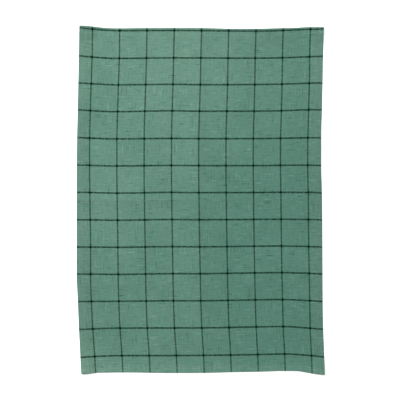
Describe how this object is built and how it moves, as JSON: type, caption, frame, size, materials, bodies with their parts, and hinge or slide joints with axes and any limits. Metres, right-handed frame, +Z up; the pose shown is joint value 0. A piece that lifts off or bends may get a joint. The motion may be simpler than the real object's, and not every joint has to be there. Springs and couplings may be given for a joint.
{
  "type": "tea towel",
  "caption": "Tea towel of plain-woven cloth, hemmed on all four sides and spread out flat, with soft ironed fold lines and slightly curled corners.",
  "frame": {"origin": "middle of the towel's bounding box, on the surface it lies on", "axes": "+X across the width to the right, +Y along the length to the top edge, +Z up from the surface, face side up"},
  "size_m": [0.5052, 0.7114, 0.006],
  "materials": {
    "cloth": "plain-woven, matt, green with a thin dark windowpane check"
  },
  "bodies": {
    "root": {"cloth": "cloth"}
  },
  "joints": []
}
